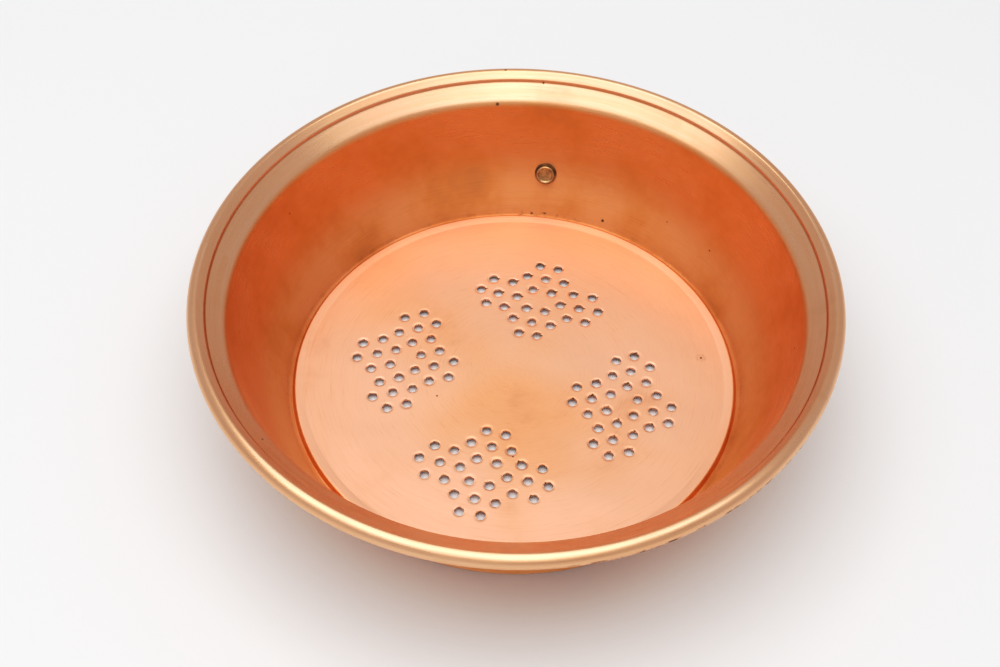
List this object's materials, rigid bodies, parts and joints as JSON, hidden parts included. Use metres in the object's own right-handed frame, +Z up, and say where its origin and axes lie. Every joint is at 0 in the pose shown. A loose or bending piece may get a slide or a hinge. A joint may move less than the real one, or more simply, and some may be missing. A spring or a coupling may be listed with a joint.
{
  "type": "copper colander",
  "caption": "Shallow spun copper strainer bowl with a rolled wired rim, drain holes punched in flower groups and a riveted brass hanging ring.",
  "frame": {"origin": "centre of the foot ring, on the surface that the bowl stands on", "axes": "+Z up along the bowl's axis, +Y towards the hanger strap and ring"},
  "size_m": [0.24, 0.24, 0.059],
  "materials": {
    "copper": "spun satin copper with light wear and patina in the creases",
    "steel_wire": "drawn steel wire",
    "aged_brass": "aged brass strip",
    "ring_brass": "handled brass wire",
    "rivet_brass": "darkened brass, clinched end",
    "washer_copper": "darkened copper"
  },
  "bodies": {
    "bowl_body": {"bowl": "copper", "rim_wire": "steel_wire", "hanger_strap": "aged_brass", "rivet": "rivet_brass", "rivet_washer": "washer_copper"},
    "ring_body": {"hanging_ring": "ring_brass"}
  },
  "joints": [
    {"name": "ring_swing", "type": "hinge", "parent": "bowl_body", "child": "ring_body", "pos_m": [0, 0.11097, 0.03955], "axis": [1, 0, 0], "range_deg": [-18, 125]}
  ]
}
